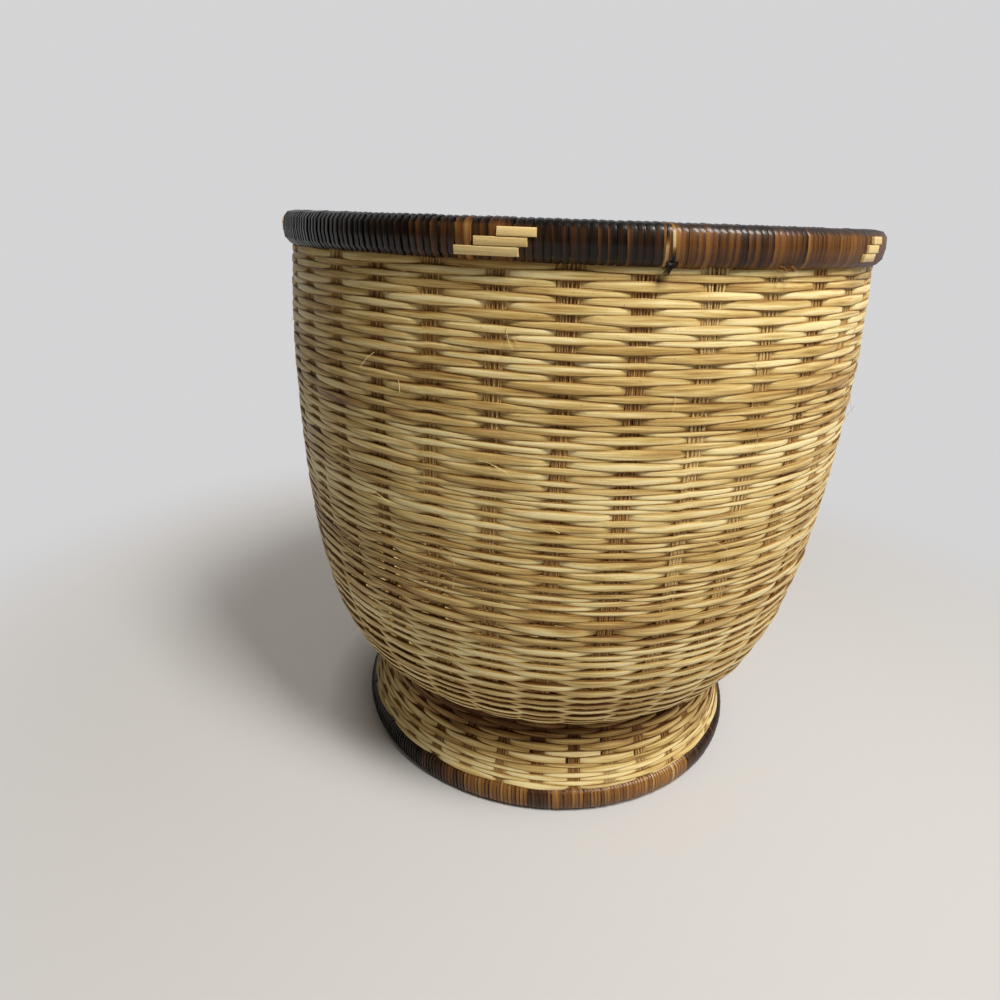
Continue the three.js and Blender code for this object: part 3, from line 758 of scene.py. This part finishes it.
def spoke_line(order):
    """The middle of one spoke seen from above, straight across the heart and fanned out to both ends."""
    fan = order * math.pi / (2 * SPOKES_IN_LAYER)
    aside = order * SPOKE_PITCH
    end = BASE_REACH * math.cos(fan), BASE_REACH * math.sin(fan)
    corners = np.array([(-end[0], end[1]), (-BASE_HEART, aside), (BASE_HEART, aside), end])
    share = np.concatenate([np.linspace(0, 1, 12), np.linspace(1, 2, 6)[1:], np.linspace(2, 3, 12)[1:]])
    line = np.stack([np.interp(share, range(4), corners[:, axis]) for axis in (0, 1)], axis=1)
    for smoothing in range(4):
        line[1:-1] = (line[:-2] + 2 * line[1:-1] + line[2:]) / 4
    return line


for layer_number, layer_name in enumerate(("lower", "upper")):
    for index in range(SPOKES_IN_LAYER):
        line = spoke_line(index - 1.5)
        along = np.gradient(line, axis=0)
        across = np.stack([-along[:, 1], along[:, 0]], axis=1) / np.linalg.norm(along, axis=1)[:, None]
        reach = np.linalg.norm(line, axis=1)
        apart = np.clip((CROSSING_END - reach) / CROSSING_WAY, 0, 1)
        crossing = CROSSING * (2 * layer_number - 1) * apart
        lines = []
        for cane in (-1, 0, 1):
            flat = line + across * cane * SPOKE_CANE_PITCH
            points = np.c_[flat, BASE_HEIGHT + crossing]
            if layer_number:
                points = np.c_[-points[:, 1], points[:, 0], points[:, 2]]
            lines.append((points, SPOKE_CANE, 0.0, chance.uniform(0.35, 0.75)))
        spoke = sweep(f"base_spoke_{layer_name}_{index + 1}_canes", spoke_section, lines)
        spoke.data.materials.append(spoke_material)
        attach(spoke, "root")
        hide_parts(f"base_spoke_{layer_name}_{index + 1}")

lines = []
for ring, radius in enumerate(np.arange(FIRST_RING, LAST_RING, RING_PITCH)):
    arms = []
    for index in range(SPOKES_IN_LAYER):
        line = spoke_line(index - 1.5)[17:]
        reach = np.linalg.norm(line, axis=1)
        side = math.atan2(np.interp(radius, reach, line[:, 1]), np.interp(radius, reach, line[:, 0]))
        arms += [side + quarter * math.pi / 2 for quarter in range(4)]
    arms = np.sort(np.array(arms) % (2 * math.pi))
    turn = np.linspace(0, 2 * math.pi, RING_POINTS + 1)[:-1]
    all_arms = [arms[-1] - 2 * math.pi, *arms, arms[0] + 2 * math.pi]
    passed = np.interp(turn, all_arms, range(-1, len(arms) + 1))
    wave = np.tanh(np.cos(math.pi * passed)) / math.tanh(1) * (-1) ** ring
    thick = chance.uniform(0.88, 1.08) * RING_CANE
    height = BASE_HEIGHT + wave * (SPOKE_THICK + WEAVER_DEPTH * thick) / 2
    points = np.stack([radius * np.cos(turn), radius * np.sin(turn), height], axis=1)
    lines.append((points, thick, math.pi / 2, chance.uniform(0.35, 0.8)))
base_rings = sweep("base_rings", weaver_section, lines, closed=True, seam_shade=SEAM_PAINTED_SHADE)
base_rings.data.materials.append(straw_material)
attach(base_rings, "root")
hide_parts("base_weave")


# Frayed ends. Two short ends of the rim's binding come out under it on the right: one is a black tuft, the
# other is split into four brown hairs that curl up. Both are held by the turns above them.
FRAY_RADIUS = 0.149
TUFT_HAIRS = 16
TUFT_TURN = 12.6  # turn from the front in degrees
TUFT_SPREAD = 1.5  # degrees
TUFT_RADIUS, TUFT_HEIGHT = 0.1486, 0.2850  # of its roots
TUFT_FALL = 0.0046  # height of its longest hair
TUFT_TIP = 0.35  # where that hair stands, as a share of the way across
TUFT_SWEEP = 0.0022  # how far the hairs bend to the left
TUFT_OUT = 0.0016  # and how far out of the wall
TUFT_WIDTH = 0.0008  # of a hair at its root
CURLS = (  # turn from the front in degrees, how far the hair bends to the right, and its tone
    (30.2, 0.0016, 0.75), (31.0, -0.0009, 0.45), (31.9, 0.0011, 0.55), (32.3, 0.0013, 0.80),
)
CURL_RADIUS, CURL_HEIGHT = 0.1480, 0.2846  # of their roots
CURL_OUT = 0.0024  # how far a hair bends out of the wall
CURL_FALL = 0.0022  # and down before it curls up
CURL_WIDTH = 0.0006  # of a hair at its root

lines = []
chance = np.random.default_rng(53)
for hair in range(TUFT_HAIRS):
    t = np.linspace(0, 1, 9)
    share = hair / (TUFT_HAIRS - 1)
    turn = math.radians(TUFT_TURN + TUFT_SPREAD * share)
    fall = TUFT_FALL * (1 - abs(share - TUFT_TIP)) * chance.uniform(0.8, 1.1)
    turn = turn - (TUFT_SWEEP * chance.uniform(0.3, 1.0) * t ** 1.5) / FRAY_RADIUS
    radius = TUFT_RADIUS + TUFT_OUT * np.sin(math.pi * t * 0.8) + chance.uniform(-0.0003, 0.0003)
    points = np.stack([radius * np.sin(turn), -radius * np.cos(turn), TUFT_HEIGHT - fall * t], axis=1)
    lines.append((points, TUFT_WIDTH * (1 - 0.7 * t), 0.0, chance.uniform(0.0, 0.2)))
for degrees, across, tone in CURLS:
    t = np.linspace(0, 1, 13)
    turn = math.radians(degrees) + across * np.sin(math.pi * t * 1.3) / FRAY_RADIUS
    radius = CURL_RADIUS + CURL_OUT * np.sin(math.pi * t)
    height = CURL_HEIGHT - CURL_FALL * np.sin(math.pi * t * 0.8)
    points = np.stack([radius * np.sin(turn), -radius * np.cos(turn), height], axis=1)
    lines.append((points, CURL_WIDTH * (1 - 0.5 * t), 0.0, tone))
fibre_section = cane_section("fibre_section", 0.8, 5)
frayed = sweep("rim_frayed_ends", fibre_section, lines)
frayed.data.materials.append(binding_material)
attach(frayed, "root")


# Loose fibres. Fine hairs of cane have split off the weavers and stand or hang a little way out. Each one
# still holds to the weave by its root.
FRONT_FIBRES = (  # turn from the front in degrees, length below the rim, length, and aim, 0 right and 90 up
    (-8.5, 0.0220, 0.008, -88), (-7.6, 0.0250, 0.005, -60), (-12.0, 0.0735, 0.010, 8),
    (-10.0, 0.0745, 0.008, -5), (16.0, 0.0430, 0.007, -80), (24.0, 0.0960, 0.009, 20),
    (1.0, 0.1010, 0.006, 160),
)
OTHER_FIBRES = 40
FIBRE_WIDTH = 0.00028  # at its root
FIBRE_ROOT = 0.0018  # how far that is out of the middle of the weave

chance = np.random.default_rng(43)
lines = []
places = [*FRONT_FIBRES]
for number in range(OTHER_FIBRES):
    places.append((chance.uniform(-180, 180), chance.uniform(0.02, 0.20), chance.uniform(0.004, 0.011),
                   chance.uniform(-180, 180)))
for degrees, below, reach, aim in places:
    t = np.linspace(0, 1, 7)
    aim = math.radians(aim) + chance.uniform(-0.6, 0.6) * t
    radius = np.interp(TOP - below, wall_length, middle[:, 0])
    turn = math.radians(degrees) + reach * t * np.cos(aim) / radius
    out = FIBRE_ROOT + 0.35 * reach * t ** 1.6
    points, slope = wall_point(TOP - below + reach * t * np.sin(aim), turn, out)
    lines.append((points, FIBRE_WIDTH * (1 - 0.5 * t), slope, chance.uniform(0.5, 1.0)))
fibres = sweep("loose_fibres", fibre_section, lines)
fibres.data.materials.append(straw_material)
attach(fibres, "root")


# Stage. A pale floor that runs up into a backdrop, a large soft lamp above in front on the right, a weak one
# overhead and a faint warm light all round. Away from the basket the camera sees the floor in one plain pale
# colour, and close round it a share of a warm plain colour is painted light that lightens the basket's
# shadow.
PLAIN_FADE = (0.24, 0.55)  # distances from the middle of the basket between which the floor turns plain
# Painted light: the first share near the basket lightens its shadow on the floor, in NEAR_COLOUR.
NEAR_FADE = (0.112, 0.150)  # and between which a first share of that begins
NEAR_SHARE = 0.27
NEAR_COLOUR = (0.70, 0.65, 0.60, 1)
FAR_COLOUR = (0.66, 0.66, 0.67, 1)
COVE_STEPS = 8
COVE_STEP = 0.06
BACKDROP_HEIGHT = 3
LAMPS = (  # name, place, power, and size
    ("lamp", (0.555, -0.585, 1.37), 28.5, (0.3, 0.7)), ("ceiling", (0.30, -0.20, 1.5), 2.0, (1.0, 1.0)),
)
LAMP_AIM = Vector((0, 0, 0.15))

bpy.ops.object.select_all(action="DESELECT")
bpy.ops.mesh.primitive_plane_add(size=1)
floor = bpy.context.object
floor.name = "floor"
floor.scale = (8, 4, 1)
floor.location = (0, -1.1, 0)
bpy.ops.object.transform_apply(location=True, rotation=False, scale=True)
paint = bpy.data.materials.new("floor_paint")
paint.use_nodes = True
tree = paint.node_tree
lit = tree.nodes["Principled BSDF"]
lit.inputs["Base Color"].default_value = (0.555, 0.555, 0.56, 1)
lit.inputs["Roughness"].default_value = 0.85

# Only what the camera sees, straight, mirrored or through something, is plain. The light that the floor gives
# back to the basket is that of its paint.
ray = add_node(tree, "ShaderNodeLightPath")
seen = add_node(tree, "ShaderNodeMath", {0: ray.outputs["Is Camera Ray"], 1: ray.outputs["Is Glossy Ray"]},
                operation="MAXIMUM")
seen = add_node(tree, "ShaderNodeMath", {0: seen.outputs[0], 1: ray.outputs["Is Transmission Ray"]},
                operation="MAXIMUM")
place = add_node(tree, "ShaderNodeTexCoord")
away = add_node(tree, "ShaderNodeVectorMath", {0: place.outputs["Object"]}, operation="LENGTH")
back = add_node(tree, "ShaderNodeMapRange",
                {0: away.outputs["Value"], 1: PLAIN_FADE[0], 2: PLAIN_FADE[1]},
                interpolation_type="SMOOTHSTEP")
# Painted light: near the basket, a share of the warm plain colour lightens its shadow on the floor.
near = add_node(tree, "ShaderNodeMapRange",
                {0: away.outputs["Value"], 1: NEAR_FADE[0], 2: NEAR_FADE[1], 3: 0.0, 4: NEAR_SHARE})
plain = add_node(tree, "ShaderNodeMapRange", {0: back.outputs[0], 3: near.outputs[0], 4: 1.0})
share = add_node(tree, "ShaderNodeMath", {0: seen.outputs[0], 1: plain.outputs[0]}, operation="MULTIPLY")
colour = add_node(tree, "ShaderNodeMix", {0: back.outputs[0], 6: NEAR_COLOUR, 7: FAR_COLOUR},
                  data_type="RGBA")
pale = add_node(tree, "ShaderNodeEmission", {"Color": colour.outputs[2], "Strength": 1.0})
both = add_node(tree, "ShaderNodeMixShader", {0: share.outputs[0], 1: lit.outputs[0], 2: pale.outputs[0]})
tree.links.new(both.outputs[0], tree.nodes["Material Output"].inputs["Surface"])
bpy.ops.object.mode_set(mode="EDIT")
bpy.ops.mesh.select_mode(type="EDGE")
bpy.ops.mesh.select_all(action="DESELECT")
bpy.ops.object.mode_set(mode="OBJECT")
for edge in floor.data.edges:
    edge.select = all(floor.data.vertices[end].co.y > 0.5 for end in edge.vertices)
bpy.ops.object.mode_set(mode="EDIT")
for step in range(COVE_STEPS):
    angle = math.pi / 2 * (step + 0.5) / COVE_STEPS
    bpy.ops.mesh.extrude_region_move(TRANSFORM_OT_translate={
        "value": (0, COVE_STEP * math.cos(angle), COVE_STEP * math.sin(angle))})
bpy.ops.mesh.extrude_region_move(TRANSFORM_OT_translate={"value": (0, 0, BACKDROP_HEIGHT)})
bpy.ops.object.mode_set(mode="OBJECT")
bpy.ops.object.shade_smooth()
floor.data.materials.append(paint)

world = bpy.data.worlds.new("world")
world.use_nodes = True
tree = world.node_tree
background = tree.nodes["Background"]
background.inputs["Color"].default_value = (1.0, 0.78, 0.50, 1)
background.inputs["Strength"].default_value = 0.065
bpy.context.scene.world = world

for name, location, energy, size in LAMPS:
    bpy.ops.object.select_all(action="DESELECT")
    bpy.ops.object.light_add(type="AREA", location=location)
    lamp = bpy.context.object
    lamp.name = name
    lamp.data.energy = energy
    lamp.data.shape = "RECTANGLE"
    lamp.data.size, lamp.data.size_y = size
    lamp.data.color = (1.0, 0.97, 0.92)
    lamp.rotation_euler = (LAMP_AIM - lamp.location).to_track_quat("-Z", "Y").to_euler()

# The outlines that the canes were drawn with are no pieces of the basket.
for section in (stake_section, weaver_section, turn_section, spoke_section, fibre_section):
    bpy.data.objects.remove(section)

bpy.context.scene.view_settings.view_transform = "Standard"
